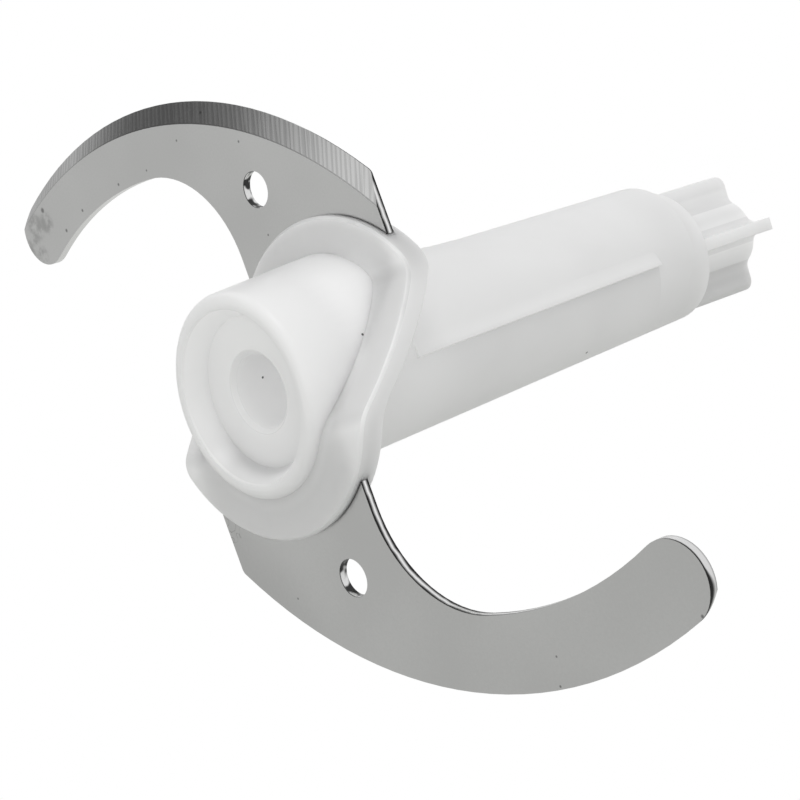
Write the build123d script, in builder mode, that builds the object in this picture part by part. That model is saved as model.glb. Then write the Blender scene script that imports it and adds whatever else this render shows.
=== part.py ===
# A chopper blade for a hand blender: an S-shaped steel blade moulded into a one-piece plastic hub.
# Millimetres. The origin is the centre of the cup's rim, which the part stands on, and +Z runs up
# the stem to the drive end. Arm 1 leaves the hub towards +X and sweeps round to -Y, high above
# the rim. Arm 2 is its half turn about Z, one step lower, just above the rim.
import os
from math import asin, atan2, cos, degrees, hypot, radians, sin, tan

from build123d import *

# Cup: the wide foot that turns on the bowl's pin
cup_rim_radius = 8.8
cup_draft = 4.4
cup_rim_round = 0.9
recess_radius = 7.5
recess_floor_radius = 6.5
recess_depth = 2.0
pin_bore_radius = 3.2
pin_bore_depth = 44.0
pin_bore_lead = 0.4

# Sheet: flat, a ramp across the hub, and flat again one step higher. The bends are a little skew.
blade_thickness = 0.8
arm_2_height = 1.7
arm_step = 10.5
ramp_half_run = 5.25
ramp_bend_radius = 3.0
ramp_shift = 0.9
ramp_skew = 2.9
sheet_reach = 60.0

# Outline of one arm: sharp edge outside, back inside, round tip
edge_radius = 44.45
edge_centre = (-15.5, -23.0)
back_radius = 36.0
back_centre = (-13.35, -23.0)
root_radius = 10.4
root_back_y = -9.1
root_side_y = 10.25
root_corner_round = 0.8
tip_angle = -21.2
core_hole_radius = 7.0

# Grinding of the edge: the ground face starts on a circle that is shifted from the edge's circle,
# so it narrows towards the tip, and it runs out just past the edge, which leaves it a little blunt
grind_radius = 44.65
grind_shift = (-1.8, -1.3)
grind_overrun = 0.2

# Holding hole in each arm
arm_hole_radius = 1.65
arm_hole_centre = (16.9, -4.0)

# Flange: the moulded disc that follows the ramp and grips both arms
flange_centre_y = 0.4
flange_half_x = 12.65
flange_half_y = 13.45
flange_skin = 0.83
flange_front_chamfer = 0.25
flange_back_chamfer = 0.15

# Stem, with a grip that doesn't taper and two thin ribs that rise out of the taper
stem_top = 53.6
stem_top_radius = 6.4
stem_draft = 2.15
stem_foot_round = 1.1
grip_radius = 6.7
grip_shift = 0.65
grip_bottom = 20.0
grip_top = 52.4
grip_end_chamfer = 1.0
rib_bottom = 13.0
rib_top = 46.0
rib_bottom_angle = 102.5
rib_top_angle = 98.0
rib_bottom_height = 0.3
rib_top_height = 0.55
rib_depth = 1.5
rib_spread = 12.0
rib_wall_spread = 1.0

# Drive end: a round core with two wide lobes and two narrow ones across them
drive_length = 10.8
drive_core_radius = 3.65
drive_angle = 5.0
wide_lobe_reach = 5.9
wide_lobe_width = 3.6
wide_lobe_round = 1.1
narrow_lobe_reach = 6.15
narrow_lobe_width = 1.2
lobe_root_round = 1.0
drive_end_chamfer = 0.25


def polar(radius, angle, centre=(0, 0)):
    return (centre[0] + radius * cos(radians(angle)), centre[1] + radius * sin(radians(angle)))


def direction(start, end):
    return degrees(atan2(end[1] - start[1], end[0] - start[0]))


# Worked out from the sizes above
arm_1_height = arm_2_height + arm_step
sheet_middle = arm_2_height + blade_thickness / 2
flange_thickness = blade_thickness + 2 * flange_skin
stack_top = arm_1_height + blade_thickness + flange_skin
side_plane = Plane(
    origin=(ramp_shift, 0, 0),
    x_dir=(cos(radians(ramp_skew)), sin(radians(ramp_skew)), 0),
    z_dir=(sin(radians(ramp_skew)), -cos(radians(ramp_skew)), 0),
)


def stem_radius(height):
    return stem_top_radius + tan(radians(stem_draft)) * (stem_top - height)


def step_line(shift):
    """The sheet's middle seen along Y, moved up by shift."""
    low = sheet_middle + shift
    high = low + arm_step
    corners = [(-sheet_reach, low), (-ramp_half_run, low), (ramp_half_run, high), (sheet_reach, high)]
    return FilletPolyline(*corners, radius=ramp_bend_radius)


# The root arc touches the straight back and the inside of the back circle. The round tip touches
# the inside of the edge circle and the outside of the back circle.
root_centre_y = root_back_y - root_radius
root_rise = root_centre_y - back_centre[1]
root_angle = degrees(asin(root_rise / (back_radius - root_radius)))
root_centre = polar(back_radius - root_radius, root_angle, back_centre)
side_angle = degrees(asin((root_side_y - edge_centre[1]) / edge_radius))
side_corner = polar(edge_radius, side_angle, edge_centre)
gap_x = edge_centre[0] - back_centre[0]
gap_y = edge_centre[1] - back_centre[1]
gap_along = gap_x * cos(radians(tip_angle)) + gap_y * sin(radians(tip_angle))
tip_numerator = hypot(gap_x, gap_y) ** 2 + 2 * edge_radius * gap_along + edge_radius**2 - back_radius**2
tip_radius = tip_numerator / (2 * (gap_along + edge_radius + back_radius))
tip_centre = polar(edge_radius - tip_radius, tip_angle, edge_centre)
tip_back_angle = direction(back_centre, tip_centre)

with BuildSketch() as arm_outline:
    with BuildLine():
        Line((0, root_back_y), (root_centre[0], root_back_y))
        CenterArc(root_centre, root_radius, 90, root_angle - 90)
        CenterArc(back_centre, back_radius, root_angle, tip_back_angle - root_angle)
        CenterArc(tip_centre, tip_radius, tip_back_angle + 180, 180 + tip_angle - tip_back_angle)
        CenterArc(edge_centre, edge_radius, tip_angle, side_angle - tip_angle)
        Line(side_corner, (0, root_side_y))
        Line((0, root_side_y), (0, root_back_y))
    make_face()
    fillet(arm_outline.vertices().sort_by_distance(side_corner)[0], root_corner_round)
    with Locations(arm_hole_centre):
        Circle(arm_hole_radius, mode=Mode.SUBTRACT)

# Blade: the bent sheet, cut to the outline of both arms
with BuildPart() as blade:
    with BuildSketch(side_plane.offset(-sheet_reach)):
        with BuildLine():
            step_line(0)
        trace(line_width=blade_thickness)
    extrude(amount=2 * sheet_reach)
    with BuildSketch():
        with PolarLocations(0, 2):
            add(arm_outline.sketch)
        Circle(core_hole_radius, mode=Mode.SUBTRACT)
    extrude(amount=stack_top, mode=Mode.INTERSECT)

# Each arm is ground on one face: arm 1 on its underside, arm 2 on its top
grind_start = (edge_centre[0] + grind_shift[0], edge_centre[1] + grind_shift[1])
for turn, ground, sharp in (
    (0, arm_1_height, arm_1_height + blade_thickness),
    (180, arm_2_height + blade_thickness, arm_2_height),
):
    slope = sharp - ground
    with BuildPart() as grinding:
        with BuildSketch(Plane.XY.offset(ground - slope).rotated((0, 0, turn))):
            with Locations((flange_half_x / 2, -sheet_reach)):
                Rectangle(sheet_reach, 2 * sheet_reach, align=(Align.MIN, Align.MIN))
        extrude(amount=3 * slope)
        for share in (-1, 2):
            centre = (
                grind_start[0] - share * grind_shift[0],
                grind_start[1] - share * grind_shift[1],
            )
            radius = grind_radius + share * (edge_radius + grind_overrun - grind_radius)
            with BuildSketch(Plane.XY.offset(ground + share * slope).rotated((0, 0, turn))):
                with Locations(centre):
                    Circle(radius)
        loft(mode=Mode.SUBTRACT)
    with blade:
        add(grinding.part, mode=Mode.SUBTRACT)

# Cup: a drafted foot that ends inside the flange, under the sheet's middle
with BuildPart() as cup:
    with BuildSketch(Plane.XZ):
        with BuildLine():
            Polyline(
                (0, 0),
                (cup_rim_radius, 0),
                (cup_rim_radius + tan(radians(cup_draft)) * stack_top, stack_top),
                (0, stack_top),
                close=True,
            )
        make_face()
    revolve(axis=Axis.Z)
    fillet(cup.edges().group_by(Axis.Z)[0], cup_rim_round)
    with BuildSketch(side_plane.offset(-sheet_reach)):
        with BuildLine():
            middle = step_line(0)
            Polyline(middle @ 0, (-sheet_reach, -1), (sheet_reach, -1), middle @ 1)
        make_face()
    extrude(amount=2 * sheet_reach, mode=Mode.INTERSECT)

# Grip: a round that keeps its size, set off the axis so that it stands proud on one side
with BuildPart() as grip:
    with BuildSketch(Plane.XY.offset(grip_bottom)):
        with Locations((grip_shift, 0)):
            Circle(grip_radius)
    extrude(amount=grip_top - grip_bottom)
    chamfer(grip.edges().group_by(Axis.Z)[-1], grip_end_chamfer)

# Ribs: thin wedges with a gentle flank on one side and a steep wall on the other
with BuildPart() as rib:
    for height, angle, rise in (
        (rib_bottom, rib_bottom_angle, rib_bottom_height),
        (rib_top, rib_top_angle, rib_top_height),
    ):
        foot_radius = stem_radius(height)
        with BuildSketch(Plane.XY.offset(height)):
            with BuildLine():
                Polyline(
                    polar(foot_radius - rib_depth, angle - rib_spread / 2),
                    polar(foot_radius, angle - rib_spread),
                    polar(foot_radius + rise, angle),
                    polar(foot_radius, angle + rib_wall_spread),
                    close=True,
                )
            make_face()
    loft()

# Drive end
with BuildPart() as drive:
    with BuildSketch(Plane.XY.offset(stem_top).rotated((0, 0, drive_angle))):
        RectangleRounded(2 * wide_lobe_reach, wide_lobe_width, wide_lobe_round)
        Rectangle(narrow_lobe_width, 2 * narrow_lobe_reach)
        Circle(drive_core_radius)
    extrude(amount=drive_length)
    roots = drive.edges().filter_by(Axis.Z).filter_by(
        lambda edge: abs(hypot(edge.center().X, edge.center().Y) - drive_core_radius) < 0.01
    )
    fillet(roots, lobe_root_round)
    chamfer(drive.edges().group_by(Axis.Z)[-1], drive_end_chamfer)

# Hub: flange, cup and stem in one moulding
with BuildPart() as hub:
    with BuildSketch(side_plane.offset(-sheet_reach)):
        with BuildLine():
            lower = step_line(-flange_thickness / 2)
            upper = step_line(flange_thickness / 2)
            Line(lower @ 0, upper @ 0)
            Line(lower @ 1, upper @ 1)
        make_face()
    extrude(amount=2 * sheet_reach)
    with BuildSketch():
        with Locations((0, flange_centre_y)):
            Ellipse(flange_half_x, flange_half_y)
    extrude(amount=stack_top, mode=Mode.INTERSECT)
    side = hub.faces().sort_by(lambda face: abs(face.normal_at().Z))[0]
    chamfer(side.edges().sort_by(Axis.Z)[0], flange_front_chamfer)
    side = hub.faces().sort_by(lambda face: abs(face.normal_at().Z))[0]
    chamfer(side.edges().sort_by(Axis.Z)[-1], flange_back_chamfer)

    add(cup.part)
    with BuildSketch(Plane.XZ):
        with BuildLine():
            Polyline(
                (0, sheet_middle),
                (stem_radius(sheet_middle), sheet_middle),
                (stem_top_radius, stem_top),
                (0, stem_top),
                close=True,
            )
        make_face()
    revolve(axis=Axis.Z)
    fillet(hub.edges(Select.NEW), stem_foot_round)
    add(grip.part)
    with PolarLocations(0, 2):
        add(rib.part)
    add(drive.part)
    add(blade.part, mode=Mode.SUBTRACT)

    with BuildSketch(Plane.XZ):
        with BuildLine():
            Polyline(
                (0, 0),
                (recess_radius, 0),
                (recess_floor_radius, recess_depth),
                (pin_bore_radius + pin_bore_lead, recess_depth),
                (pin_bore_radius, recess_depth + pin_bore_lead),
                (pin_bore_radius, recess_depth + pin_bore_depth),
                (0, recess_depth + pin_bore_depth),
                close=True,
            )
        make_face()
    revolve(axis=Axis.Z, mode=Mode.SUBTRACT)

blade.part.label = "blade"
hub.part.label = "hub"

os.makedirs("parts", exist_ok=True)
for piece in (blade, hub):
    export_step(piece.part, f"parts/{piece.part.label}.step")
    print(piece.part.label, len(piece.part.solids()), round(piece.part.volume, 1), piece.part.bounding_box())
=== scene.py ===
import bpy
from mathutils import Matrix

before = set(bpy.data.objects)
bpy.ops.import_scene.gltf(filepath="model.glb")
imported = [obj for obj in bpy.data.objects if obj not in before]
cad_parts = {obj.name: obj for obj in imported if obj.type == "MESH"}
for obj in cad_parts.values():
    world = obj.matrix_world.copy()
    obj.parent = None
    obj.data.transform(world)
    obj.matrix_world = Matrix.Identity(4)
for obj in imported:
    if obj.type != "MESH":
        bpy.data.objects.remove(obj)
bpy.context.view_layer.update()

from types import SimpleNamespace

import bpy
import numpy as np
from mathutils import Matrix, Vector

# A chopper blade for a hand blender: a steel S-blade moulded into a white plastic hub.
# Metres. The rim of the hub's cup stands on the floor at z = 0 and +Z runs up the stem.
# The looks below give lengths in millimetres, and a pair is the span over which a change happens.


class Socket:
    # wraps an output socket, so that shader maths reads as plain Python
    def __init__(self, shader, output):
        self.shader = shader
        self.output = output

    def __add__(self, other):
        return self.shader.maths("ADD", self, other)

    def __radd__(self, other):
        return self.shader.maths("ADD", other, self)

    def __sub__(self, other):
        return self.shader.maths("SUBTRACT", self, other)

    def __rsub__(self, other):
        return self.shader.maths("SUBTRACT", other, self)

    def __mul__(self, other):
        return self.shader.maths("MULTIPLY", self, other)

    def __rmul__(self, other):
        return self.shader.maths("MULTIPLY", other, self)

    def __truediv__(self, other):
        return self.shader.maths("DIVIDE", self, other)

    def __rtruediv__(self, other):
        return self.shader.maths("DIVIDE", other, self)


class Shader:
    # makes the nodes of one material or world
    def __init__(self, owner):
        owner.use_nodes = True
        self.tree = owner.node_tree

    def node(self, kind, settings=None, inputs=None, output=0):
        made = self.tree.nodes.new("ShaderNode" + kind)
        for name, value in (settings or {}).items():
            setattr(made, name, value)
        for name, value in (inputs or {}).items():
            if isinstance(value, Socket):
                self.tree.links.new(value.output, made.inputs[name])
            else:
                made.inputs[name].default_value = value
        return Socket(self, made.outputs[output])

    def maths(self, operation, *values):
        return self.node("Math", {"operation": operation}, dict(enumerate(values)))

    def above(self, value, limit):  # 1 where the value is above the limit, else 0
        return self.maths("GREATER_THAN", value, limit)

    def below(self, value, limit):
        return self.maths("LESS_THAN", value, limit)

    def most(self, first, second):
        return self.maths("MAXIMUM", first, second)

    def size(self, value):  # the value without its sign
        return self.maths("ABSOLUTE", value)

    def length(self, x, y):
        return self.maths("SQRT", x * x + y * y)

    def step(self, value, low, high):  # 0 at low, 1 at high, smooth between
        inputs = {"Value": value, "From Min": low, "From Max": high}
        return self.node("MapRange", {"interpolation_type": "SMOOTHSTEP"}, inputs)

    def near(self, value, centre, reach):  # 1 at the centre, 0 from reach on
        return 1.0 - self.step(self.size(value - centre), 0.0, reach)

    def noise(self, vector, scale, detail=2.0, roughness=0.5):
        inputs = {"Vector": vector, "Scale": scale, "Detail": detail, "Roughness": roughness}
        return self.node("TexNoise", None, inputs)

    def mix(self, share, first, second):  # colours: first where share is 0
        return self.node("Mix", {"data_type": "RGBA"}, {0: share, 6: first, 7: second}, 2)

    def scale(self, vector, factor):
        return self.node("VectorMath", {"operation": "SCALE"}, {0: vector, "Scale": factor})

    def vector(self, x, y, z):
        return self.node("CombineXYZ", None, {"X": x, "Y": y, "Z": z})

    def parts(self, vector):
        split = self.node("SeparateXYZ", None, {"Vector": vector}).output.node
        return [Socket(self, split.outputs[axis]) for axis in "XYZ"]

    def millimetres(self):
        return self.scale(self.node("TexCoord", None, None, "Object"), 1000.0)

    def facing(self):
        return self.parts(self.node("NewGeometry", None, None, "Normal"))

    def spots(self, place, marks, softness):
        # 1 inside any of the marks, each a centre and a radius
        total = 0.0
        for *centre, radius in marks:
            inputs = {0: place, 1: centre}
            away = self.node("VectorMath", {"operation": "DISTANCE"}, inputs, "Value")
            total = self.most(total, 1.0 - self.step(away, radius * (1 - softness), radius))
        return total

    def link(self, value, node, name):
        self.tree.links.new(value.output, node.inputs[name])

    def bump(self, height, surface):
        inputs = {"Strength": 0.1, "Distance": 0.00005, "Height": height}
        self.link(self.node("Bump", None, inputs), surface, "Normal")


def newMaterial(name, **constants):
    material = bpy.data.materials.new(name)
    shader = Shader(material)
    surface = shader.tree.nodes["Principled BSDF"]
    for socket, value in constants.items():
        surface.inputs[socket.replace("_", " ")].default_value = value
    return material, shader, surface


def grey(value):
    return (value, value, value, 1)


# The flange's outline: an ellipse with its centre moved along Y
flangeOutline = {"centre": 0.4, "half": (12.65, 13.45)}


def flangeShare(shader, x, y):  # 0 in the middle, 1 on the outline
    halfX, halfY = flangeOutline["half"]
    return shader.length(x / halfX, (y - flangeOutline["centre"]) / halfY)


# Plastic hub: milky, so light spreads inside it and the steel shows as a shade where it lies under
# a thin skin. A few black specks are moulded in. Much of its light and shade is painted: glow as
# emission, shade in its colour.
hubLook = {
    # painted light: the cup is paler than the stem, though both are the one plastic
    "cupColour": 0.93,
    "stemColour": 0.862,
    "stemSpan": (10.0, 24.0),  # heights
    "cloudScale": 0.09,
    "cloudSpan": (0.35, 0.7),
    "cloudShade": 0.97,
    "grainScale": 0.9,
    "roughness": 0.34,
    "spread": 0.0025,  # how far light travels inside, in metres
    # specks, each a centre and a radius
    "specks": [(1.43, 9.21, 6.98, 0.14), (1.15, -2.99, 5.25, 0.13), (-6.28, 3.11, 36.68, 0.16)],
    "speckColour": 0.02,
    "speckSoftness": 0.4,
    # bore and recess: painted glow, and painted shade in the recess and at the bore's mouth
    "boreRadius": 3.65,
    "boreDeep": 7.5,
    "boreGlow": 0.09,
    "mouthGlow": 0.022,
    "mouthTop": 2.45,
    "mouthPaintedShade": 0.08,
    "recessRadius": 7.4,
    "recessHeight": 2.02,
    "recessGlow": 0.035,
    "recessPaintedShade": 0.04,
    "recessPaintedSlope": (0.0048, 0.0036),  # painted light, paler per millimetre along X and Y
    "cornerGlow": 0.07,
    "cornerReach": (6.2, 7.0),
    "cornerX": (-1.0, -5.0),
    "cornerY": (-5.0, 3.0),
    # foot of the cup, on the flange's ramp: painted glow
    "footGlow": 0.075,
    "footWall": (9.15, 9.4),
    "footReach": (11.5, 9.5),
    "footLow": (-4.0, 1.0),  # along X, and so is the next
    "footHigh": (9.0, 6.0),
    "footFloor": 1.0,
    "footFacing": -0.02,  # only faces whose normal points less far up than this
    # flange: painted shade, and a painted highlight along its front edge
    "flangeReach": (9.3, 10.2),
    "flangeTop": 13.9,
    "flangePaintedShade": 0.035,
    "rampPaintedShade": 0.15,
    "rampFacing": (0.2, 0.6),  # share of +X in the normal
    "rimPaintedShade": 0.11,
    "rimSpan": (0.985, 0.995),  # share of the outline
    "rimFacing": (0.4, 0.8),  # share of Z in the normal
    "lowerLobePaintedShade": 0.055,
    "lowerLobeX": (-4.0, -9.0),
    "edgeGlow": 0.05,
    "edgeStart": (0.981, 0.986),  # shares of the outline
    "edgeEnd": (0.996, 1.0),
    "edgeX": (-7.0, 3.0),
    "edgeY": (-6.0, 6.0),
    "edgeFacing": -0.2,
    "patchScale": 0.35,
    "patchSpan": (0.3, 0.6),
    # ribs and the top of the stem: painted light and shade
    "ribSpan": (13.0, 46.0),
    "ribFade": (11.0, 19.0),
    "ribAngles": (102.5, 98.0),  # degrees, at the rib's two ends
    "ribEdge": 0.1,  # degrees past the angle, as the next two
    "ribSpread": 12.0,
    "ribPaintedLightAndShade": 0.06,
    "shadeSpread": (0.5, 45.0),
    "topSpan": (43.0, 50.0),
    "topPaintedShade": 0.035,
    # drive end: painted light and shade by X, each a centre with its reach, or a span
    "driveFloor": 53.9,
    "drivePaintedLift": 0.035,
    "groovePaintedShades": [(1.8, 1.5, 0.14), (-1.25, 0.6, -0.14)],
    "lobePaintedShades": [(4.1, 4.6, 0.06), (-1.5, -2.8, 0.1), (-3.4, -4.6, 0.1)],
}


def paintedSoakedLight(shader, look, at):
    # painted light, as emission, for light that soaks through the milky walls: deep and shallow in
    # the bore, in the recess and its dark corner, and where the cup meets the flange's ramp
    inBore = shader.below(at.radius, look["boreRadius"]) * shader.above(at.z, look["recessHeight"])
    deep = shader.step(at.z, look["recessHeight"], look["boreDeep"])
    glow = inBore * (deep * look["boreGlow"] + (1.0 - deep) * look["mouthGlow"])
    towardsLight = 1.0 + at.x / look["recessRadius"]
    glow = glow + at.inRecess * towardsLight * look["recessGlow"]
    corner = at.inRecess * shader.step(at.radius, *look["cornerReach"])
    corner = corner * shader.step(at.x, *look["cornerX"]) * shader.step(at.y, *look["cornerY"])
    foot = shader.step(at.radius, *look["footWall"]) * shader.step(at.radius, *look["footReach"])
    foot = foot * shader.step(at.x, *look["footLow"]) * shader.step(at.x, *look["footHigh"])
    foot = foot * shader.below(at.up, look["footFacing"]) * shader.above(at.z, look["footFloor"])

    # a painted highlight, as emission in patches, along the crisp front edge of the flange
    edge = shader.step(at.share, *look["edgeStart"])
    edge = edge * (1.0 - shader.step(at.share, *look["edgeEnd"]))
    edge = edge * shader.step(at.x, *look["edgeX"]) * shader.step(at.y, *look["edgeY"])
    edge = edge * shader.below(at.up, look["edgeFacing"])
    patchy = shader.step(shader.noise(at.place, look["patchScale"]), *look["patchSpan"])
    glow = glow + foot * look["footGlow"] + corner * look["cornerGlow"]
    return glow + edge * patchy * look["edgeGlow"]


def ribPaintedShading(shader, look, at):
    # painted light and shade: each rib's flank grows paler up to its edge, and the stem is painted
    # a shade darker past it
    half = shader.maths("SIGN", at.y)
    angle = shader.maths("ARCTAN2", at.y * half, at.x * half) * (180 / np.pi)
    foot, top = look["ribSpan"]
    footAngle, topAngle = look["ribAngles"]
    past = angle - footAngle - (at.z - foot) / (top - foot) * (topAngle - footAngle)
    onRib = shader.step(at.z, *look["ribFade"]) * shader.below(at.z, top)
    edge = look["ribEdge"]
    flank = shader.step(past, -look["ribSpread"], 0.0) * shader.below(past, edge)
    shade = shader.above(past, edge) * (1.0 - shader.step(past, *look["shadeSpread"]))
    return onRib * (flank - shade) * look["ribPaintedLightAndShade"]


def drivePaintedShading(shader, look, at):
    # painted light and shade across the drive end's lobes and grooves, by X
    tone = look["drivePaintedLift"]
    for centre, reach, shade in look["groovePaintedShades"]:
        tone = tone - shader.near(at.x, centre, reach) * shade
    for low, high, shade in look["lobePaintedShades"]:
        tone = tone - shader.step(at.x, low, high) * shade
    return shader.above(at.z, look["driveFloor"]) * tone


def flangePaintedShade(shader, look, at):
    # painted shade: the whole flange is a little greyer than the cup, its ramp and rim more so,
    # and its lower lobe too, where steel also lies under the thin skin
    onFlange = shader.step(at.radius, *look["flangeReach"]) * shader.below(at.z, look["flangeTop"])
    level = shader.step(shader.size(at.up), *look["rimFacing"])
    onRim = shader.step(at.share, *look["rimSpan"]) * (1.0 - level)
    shade = look["flangePaintedShade"] + shader.step(at.ahead, *look["rampFacing"]) * look["rampPaintedShade"]
    shade = shade + onRim * look["rimPaintedShade"]
    shade = shade + shader.step(at.x, *look["lowerLobeX"]) * look["lowerLobePaintedShade"]
    return onFlange * shade


def recessPaintedShading(shader, look, at):
    # painted shade in the recess, paler towards +X and +Y, and painted shade at the bore's mouth
    slope = at.x * look["recessPaintedSlope"][0] + at.y * look["recessPaintedSlope"][1]
    mouth = shader.below(at.radius, look["boreRadius"]) * shader.below(at.z, look["mouthTop"])
    return at.inRecess * (slope - look["recessPaintedShade"]) - mouth * look["mouthPaintedShade"]


def makeHubPlastic(look):
    material, shader, surface = newMaterial(
        "milkWhitePlastic",
        Roughness=look["roughness"],
        IOR=1.49,
        Subsurface_Weight=1.0,
        Subsurface_Radius=(1.0, 1.0, 1.0),
        Subsurface_Scale=look["spread"],
        Emission_Strength=1.0,
    )
    at = SimpleNamespace(place=shader.millimetres())
    at.x, at.y, at.z = shader.parts(at.place)
    at.ahead, _, at.up = shader.facing()
    at.radius = shader.length(at.x, at.y)
    at.share = flangeShare(shader, at.x, at.y)
    at.inRecess = shader.below(at.radius, look["recessRadius"])
    at.inRecess = at.inRecess * shader.below(at.z, look["recessHeight"])
    # the painted glow goes in as emission
    shader.link(paintedSoakedLight(shader, look, at), surface, "Emission Color")

    cloud = shader.step(shader.noise(at.place, look["cloudScale"]), *look["cloudSpan"])
    tone = 1.0 - cloud * (1.0 - look["cloudShade"])
    # painted shade towards the top of the stem, and painted light and shade on the ribs, the drive
    # end, the recess and the flange
    tone = tone - shader.step(at.z, *look["topSpan"]) * look["topPaintedShade"]
    tone = tone + ribPaintedShading(shader, look, at) + drivePaintedShading(shader, look, at)
    tone = tone + recessPaintedShading(shader, look, at) - flangePaintedShade(shader, look, at)
    onStem = shader.step(at.z, *look["stemSpan"])
    colour = shader.mix(onStem, grey(look["cupColour"]), grey(look["stemColour"]))
    colour = shader.scale(colour, tone)
    specks = shader.spots(at.place, look["specks"], look["speckSoftness"])
    shader.link(shader.mix(specks, colour, grey(look["speckColour"])), surface, "Base Color")
    shader.bump(shader.noise(at.place, look["grainScale"], detail=3.0), surface)
    return material


# Steel blade: fine matt flats, an edge band with grinding lines across it, and sheared side walls
# with a painted reflection, bright in the middle and dark along both faces. The band and the flats
# of arm 2 also get painted shade. The centres of the edge, of the grinding
# and of the hole are given for arm 1, and arm 2 is arm 1 turned by half a turn. Marks are given
# where they are.
bladeLook = {
    "colour": 0.71,
    "cloudColour": 0.65,
    "cloudScale": 0.06,
    "cloudSpan": (0.35, 0.65),
    "grainScale": 5.0,
    "grainShare": 0.25,
    "grainHeight": 0.15,
    "roughness": 0.3,
    "grainRoughness": 0.1,
    "bandPolish": 0.08,
    "wallPolish": 0.05,
    "wallFacing": (0.3, 0.5),  # share of Z in the normal
    "meanFloor": 6.95,  # height of the undersides: the mean, and half their difference
    "halfStep": 5.25,
    "thickness": 0.8,
    # ground band, painted darker towards the tip and paler towards the corner
    "edgeCentre": (-15.5, -23.0),
    "grindCentre": (-17.3, -24.3),
    "grindRadius": 44.65,
    "grindEdge": 0.02,
    "bandFacing": (0.985, 0.995),
    "bandColours": (0.52, 0.66),
    "lineSpacing": 0.6,
    "lineWaver": 1.2,
    "roughShare": 0.6,
    "roughScales": (1.6, 0.2, 9.0),  # across the lines, along them, and from arm to arm
    "lineSpan": (0.3, 0.7),
    "startRadius": 44.68,
    "startWidth": 0.09,
    "startColour": 0.15,
    "startShare": 0.6,
    "tipPaintedShade": 0.3,
    "tipPaintedShadeSpan": (-0.05, -0.33),  # radians round the edge's centre
    "cornerPaintedSheen": 0.22,
    "cornerPaintedSheenSpan": (0.6, 0.85),
    # walls: painted reflection, a painted shadow at the tip of arm 2, and painted glints in the
    # holes
    "wallReflectionColours": (0.03, 1.0),
    "brightReach": 0.36,  # share of the thickness
    "waver": 0.3,
    "waverScale": 0.7,
    "borderStart": (3.0, 6.0),
    "tipSpan": (-16.0, -36.0),
    "tipReflectionColours": (0.85, 0.45),
    "tipOutline": (0.6, 0.78),
    "tipShadow": (23.9, 1.8, 0.22, 0.5),  # centre, reach, least and added height
    "tipShadowStart": 0.4,  # share of that height
    "holeCentre": (16.9, -4.0),
    "holeReach": 1.75,  # a little more than the hole's radius
    "glintScale": 1.0,
    "glintColours": (0.05, 0.9),
    "glintSpan": (0.44, 0.6),
    "glintEdge": (0.02, 0.16),
    # marks, each a centre and a radius
    "pits": [
        (24.18, -12.3, 12.2, 0.16),
        (21.34, -3.95, 12.2, 0.17),
        (25.36, -8.11, 12.58, 0.2),
        (23.35, -23.04, 12.2, 0.2),
        (23.18, -18.12, 12.2, 0.15),
        (22.91, -30.11, 12.2, 0.22),
        (24.89, -36.65, 12.2, 0.38),
        (21.97, -33.86, 12.2, 0.25),
        (12.85, -4.46, 12.2, 0.15),
        (-26.41, 23.95, 1.7, 0.14),
        (-28.68, 23.24, 1.7, 0.16),
        (-17.38, -4.09, 1.7, 0.14),
        (-25.62, 39.45, 1.7, 0.2),
    ],
    "smudges": [
        (23.7, -38.8, 12.2, 2.0),
        (22.2, -40.3, 12.2, 1.6),
        (20.9, -39.3, 12.2, 1.4),
        (23.6, -36.8, 12.2, 1.5),
    ],
    "scratched": [(-10.1, -9.9, 1.7, 1.9)],
    "markSoftness": 0.7,
    "pitShare": 0.7,
    "smudgeSoftness": 0.6,
    "smudgeShare": 0.36,
    "blotchScale": 0.55,
    "blotchSpan": (0.4, 0.62),
    "scratchShare": 0.6,
    "threadScale": 1.1,
    "threadWidth": 0.02,
    "seamShadowWidth": 0.016,  # painted shadow along the seam, as a share of the flange's outline
    "seamShadowY": (3.0, 7.0),
    "seamShadowShare": 0.9,
    "markAndShadeColour": 0.1,
    # painted shade on the flats of arm 2 towards its outer corner
    "cornerPaintedShade": 0.16,
    "cornerSpan": (-2.0, 9.0),
    "cornerReach": (36.0, 44.0),
}


def bladePlace(shader, look):
    # u and v are the same on both arms, half a turn apart; side is 1 on arm 1 and -1 on arm 2
    at = SimpleNamespace(place=shader.millimetres())
    at.x, at.y, at.z = shader.parts(at.place)
    at.side = shader.maths("SIGN", at.x)
    at.u, at.v = at.x * at.side, at.y * at.side
    at.onArm2 = shader.below(at.side, 0.0)
    at.facing = shader.facing()[2]
    at.level = shader.size(at.facing)
    at.wall = 1.0 - shader.step(at.level, *look["wallFacing"])
    at.depth = at.z - look["meanFloor"] - look["halfStep"] * at.side  # above the sheet's underside
    return at


def fromCentre(at, centre):
    return at.u - centre[0], at.v - centre[1]


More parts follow.
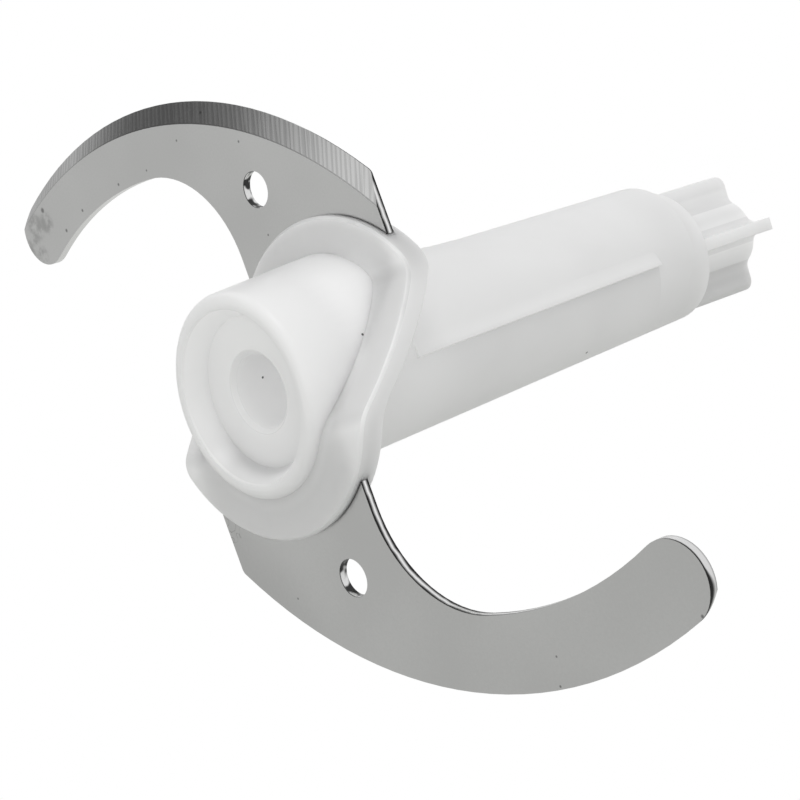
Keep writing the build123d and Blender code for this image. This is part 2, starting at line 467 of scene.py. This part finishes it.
def groundBand(shader, look, at):
    # beyond the grinding circle, on the face that tilts, with lines across it and one at its start
    edgeU, edgeV = fromCentre(at, look["edgeCentre"])
    band = SimpleNamespace(reach=shader.length(edgeU, edgeV))
    turn = shader.maths("ARCTAN2", edgeV, edgeU)
    grindReach = shader.length(*fromCentre(at, look["grindCentre"]))
    inner, outer = look["grindRadius"] - look["grindEdge"], look["grindRadius"] + look["grindEdge"]
    flatShare = shader.step(at.level, *look["bandFacing"])
    band.share = shader.step(grindReach, inner, outer) * (1.0 - flatShare) * (1.0 - at.wall)

    along = turn * band.reach / look["lineSpacing"]
    acrossScale, reachScale, sideShift = look["roughScales"]
    rough = shader.vector(along * acrossScale, band.reach * reachScale, at.side * sideShift)
    rough = shader.noise(rough, 1.0, detail=1.0, roughness=0.4)
    wave = shader.maths("SINE", (along + rough * look["lineWaver"]) * (2 * np.pi)) * 0.5 + 0.5
    band.lines = rough * look["roughShare"] + wave * (1.0 - look["roughShare"])
    dark, pale = look["bandColours"]
    # painted reflection: the band is painted darker towards the tip of the arm and paler towards
    # its corner
    paintedReflection = 1.0 - shader.step(turn, *look["tipPaintedShadeSpan"]) * look["tipPaintedShade"]
    paintedReflection = paintedReflection + shader.step(turn, *look["cornerPaintedSheenSpan"]) * look["cornerPaintedSheen"]
    band.colour = shader.mix(shader.step(band.lines, *look["lineSpan"]), grey(dark), grey(pale))
    band.colour = shader.scale(band.colour, paintedReflection)

    groundFace = shader.below(at.facing * at.side, 0.0)
    start = shader.near(grindReach, look["startRadius"], look["startWidth"])
    band.start = start * groundFace * (1.0 - at.wall) * (0.5 + wave * 0.5)
    return band


def shearedWallPaintedReflection(shader, look, at):
    # painted reflection: bright in the middle of the sheet's thickness and dark along both faces,
    # all bright at the concave back of arm 1, dark along one face at the tip of arm 2 as a painted
    # shadow, and painted glints in the holes
    waver = (shader.noise(at.place, look["waverScale"]) - 0.5) * look["waver"]
    thickness = look["thickness"]
    bright = shader.near(at.depth + waver, thickness / 2, thickness * look["brightReach"])
    bordered = shader.most(at.onArm2, shader.step(at.v, *look["borderStart"]))
    bright = shader.most(bright, 1.0 - bordered)
    tip = shader.step(at.v, *look["tipSpan"]) * at.onArm2
    centre, reach, least, added = look["tipShadow"]
    shadow = least + shader.near(at.u, centre, reach) * added
    shadowStart = shadow * look["tipShadowStart"]
    bright = bright * (1.0 - tip) + shader.step(at.depth, shadowStart, shadow) * tip
    inner, outer = look["tipReflectionColours"]
    dark, pale = look["wallReflectionColours"]
    atTip = shader.mix(shader.step(at.depth, *look["tipOutline"]), grey(inner), grey(outer))
    colour = shader.mix(bright, grey(dark), shader.mix(tip, grey(pale), atTip))

    fromHole = shader.length(*fromCentre(at, look["holeCentre"]))
    inHole = shader.below(fromHole, look["holeReach"])
    glint = shader.noise(at.place, look["glintScale"], detail=1.0)
    glint = shader.step(glint, *look["glintSpan"]) * shader.step(at.depth, *look["glintEdge"])
    dark, pale = look["glintColours"]
    glints = shader.mix(glint, grey(dark), grey(pale))
    return shader.mix(inHole, colour, glints)


def bladeMarksAndSeamShadow(shader, look, at):
    # small pits, smudges at the tip of arm 1, scratches near the flange, and a painted shadow
    # along the seam at the hub
    soft = look["markSoftness"]
    pits = shader.spots(at.place, look["pits"], soft) * look["pitShare"]
    blotches = shader.noise(at.place, look["blotchScale"], detail=4.0, roughness=0.65)
    blotches = shader.step(blotches, *look["blotchSpan"])
    smudges = shader.spots(at.place, look["smudges"], look["smudgeSoftness"])
    smudges = smudges * blotches * look["smudgeShare"]
    threads = shader.noise(at.place, look["threadScale"], detail=1.0)
    threads = shader.near(threads, 0.5, look["threadWidth"])
    scratches = threads * shader.spots(at.place, look["scratched"], soft) * look["scratchShare"]
    seamShadow = shader.near(flangeShare(shader, at.x, at.y), 1.0, look["seamShadowWidth"])
    seamShadow = seamShadow * shader.step(at.y, *look["seamShadowY"]) * look["seamShadowShare"]
    return shader.most(shader.most(pits, shader.most(smudges, scratches)), seamShadow)


def makeBladeSteel(look):
    material, shader, surface = newMaterial("groundSteel", Metallic=1.0)
    at = bladePlace(shader, look)
    band = groundBand(shader, look, at)
    cloud = shader.noise(at.place, look["cloudScale"])
    grain = shader.noise(at.place, look["grainScale"], detail=3.0, roughness=0.6)
    share = look["grainShare"]
    cloudy = shader.step(cloud * (1.0 - share) + grain * share, *look["cloudSpan"])
    colour = shader.mix(cloudy, grey(look["colour"]), grey(look["cloudColour"]))
    colour = shader.mix(band.share, colour, band.colour)
    colour = shader.mix(band.start * look["startShare"], colour, grey(look["startColour"]))
    colour = shader.mix(bladeMarksAndSeamShadow(shader, look, at), colour, grey(look["markAndShadeColour"]))
    # painted shade on the flats of arm 2 towards its outer corner
    corner = shader.step(at.v, *look["cornerSpan"]) * shader.step(band.reach, *look["cornerReach"])
    corner = corner * at.onArm2 * look["cornerPaintedShade"]
    colour = shader.mix(corner, colour, grey(look["markAndShadeColour"]))
    walls = shearedWallPaintedReflection(shader, look, at)
    shader.link(shader.mix(at.wall, colour, walls), surface, "Base Color")

    roughness = look["roughness"] + (grain - 0.5) * look["grainRoughness"]
    roughness = roughness - band.share * look["bandPolish"] - at.wall * look["wallPolish"]
    shader.link(roughness, surface, "Roughness")
    height = grain * (1.0 - band.share) * look["grainHeight"] + band.lines * band.share
    shader.bump(height, surface)
    return material


def dress(node, material):
    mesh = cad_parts[node].data
    mesh.materials.clear()
    mesh.materials.append(material)


dress("hub", makeHubPlastic(hubLook))
dress("blade", makeBladeSteel(bladeLook))
print("materials made")

# Floor, background and lamps, in metres. The surroundings are paler towards +X, and a dark card
# stands where the ground band of the near arm mirrors it.
stageLook = {
    "floorSize": 0.6,
    "floorColour": 0.9,
    "floorRoughness": 0.8,
    "fadeSpan": (0.12, 0.3),
    "dimTint": (0.99, 1.0, 0.965, 1.0),
    "dim": 0.47,
    "pale": 0.78,
    "paleTowards": (1.0, 0.35, 0.3),
    "paleSpan": (-1.25, 0.6),
    "cardTowards": (0.575, -0.675, -0.465),
    "cardSpan": (0.925, 0.995),
    "cardShade": 0.86,
    "lampTarget": (0, 0, 0.025),
    # name, place, side of the square and power
    "lamps": [
        ("key", (0.5, 0.26, -0.12), 0.12, 0.3),
        ("fill", (0.05, 0.38, -0.44), 0.4, 0.42),
        ("top", (0.1, -0.2, 0.6), 0.4, 0.2),
    ],
}


def makeFloor(look):
    # a disc on the plane that the rim stands on, seen from above only, that fades out to white
    corners = 96
    turns = np.linspace(0, 2 * np.pi, corners, endpoint=False)
    rim = np.stack([np.cos(turns), np.sin(turns), np.zeros(corners)], axis=1) * look["floorSize"]
    mesh = bpy.data.meshes.new("floor")
    mesh.from_pydata(rim.tolist(), [], [list(range(corners))])
    floor = bpy.data.objects.new("floor", mesh)
    bpy.context.scene.collection.objects.link(floor)
    material, shader, surface = newMaterial(
        "paleFloor", Roughness=look["floorRoughness"], Base_Color=grey(look["floorColour"])
    )
    place = shader.node("TexCoord", None, None, "Object")
    radius = shader.node("VectorMath", {"operation": "LENGTH"}, {0: place}, "Value")
    under = shader.node("NewGeometry", None, None, "Backfacing")
    direct = shader.node("LightPath", None, None, "Is Camera Ray")
    clear = shader.most(shader.most(under, 1.0 - direct), shader.step(radius, *look["fadeSpan"]))
    seeThrough = shader.node("BsdfTransparent")
    lit = Socket(shader, surface.outputs[0])
    both = shader.node("MixShader", None, {0: clear, 1: lit, 2: seeThrough})
    shader.link(both, shader.tree.nodes["Material Output"], "Surface")
    mesh.materials.append(material)


def makeWorld(look):
    # white where it is seen directly; as a light, dimmer on one side and dark at the card
    world = bpy.data.worlds.new("studio")
    bpy.context.scene.world = world
    shader = Shader(world)
    background = shader.tree.nodes["Background"]
    towards = shader.node("TexCoord", None, None, "Generated")

    def along(direction):
        inputs = {0: towards, 1: direction}
        return shader.node("VectorMath", {"operation": "DOT_PRODUCT"}, inputs, "Value")

    paleness = shader.step(along(look["paleTowards"]), *look["paleSpan"])
    strength = look["dim"] + paleness * (look["pale"] - look["dim"])
    card = shader.step(along(look["cardTowards"]), *look["cardSpan"])
    strength = strength * (1.0 - card * look["cardShade"])
    direct = shader.node("LightPath", None, None, "Is Camera Ray")
    through = shader.node("LightPath", None, None, "Is Transmission Ray")
    seen = shader.most(direct, through)
    shader.link(strength * (1.0 - seen) + seen, background, "Strength")
    untinted = shader.most(paleness, seen)
    shader.link(shader.mix(untinted, look["dimTint"], grey(1.0)), background, "Color")


def makeLamp(name, position, size, power, target):
    data = bpy.data.lights.new(name, "AREA")
    data.shape = "SQUARE"
    data.size = size
    data.energy = power
    lamp = bpy.data.objects.new(name, data)
    lamp.location = position
    direction = Vector(target) - Vector(position)
    lamp.rotation_euler = direction.to_track_quat("-Z", "Y").to_euler()
    bpy.context.scene.collection.objects.link(lamp)


makeFloor(stageLook)
makeWorld(stageLook)
for lampLook in stageLook["lamps"]:
    makeLamp(*lampLook, stageLook["lampTarget"])
print("stage made")

# Camera, at the photograph's angle: low, looking up at the cup. Its place is in metres.
cameraLook = {
    "lens": 97.938,
    "sensorWidth": 36.0,
    "clipStart": 0.005,
    "place": (-0.004583, 0.143924, -0.106290),
    "right": (-0.33851, 0.60989, 0.71655),
    "up": (0.94096, 0.21941, 0.25778),
    "back": (0.0, 0.76151, -0.64815),
}
cameraData = bpy.data.cameras.new("camera")
cameraData.lens = cameraLook["lens"]
cameraData.sensor_width = cameraLook["sensorWidth"]
cameraData.clip_start = cameraLook["clipStart"]
camera = bpy.data.objects.new("camera", cameraData)
axes = [cameraLook[axis] for axis in ("right", "up", "back")]
camera.matrix_world = Matrix.Translation(cameraLook["place"]) @ Matrix(axes).transposed().to_4x4()
bpy.context.scene.collection.objects.link(camera)
bpy.context.scene.camera = camera
bpy.context.scene.view_settings.view_transform = "Standard"
print("camera made")
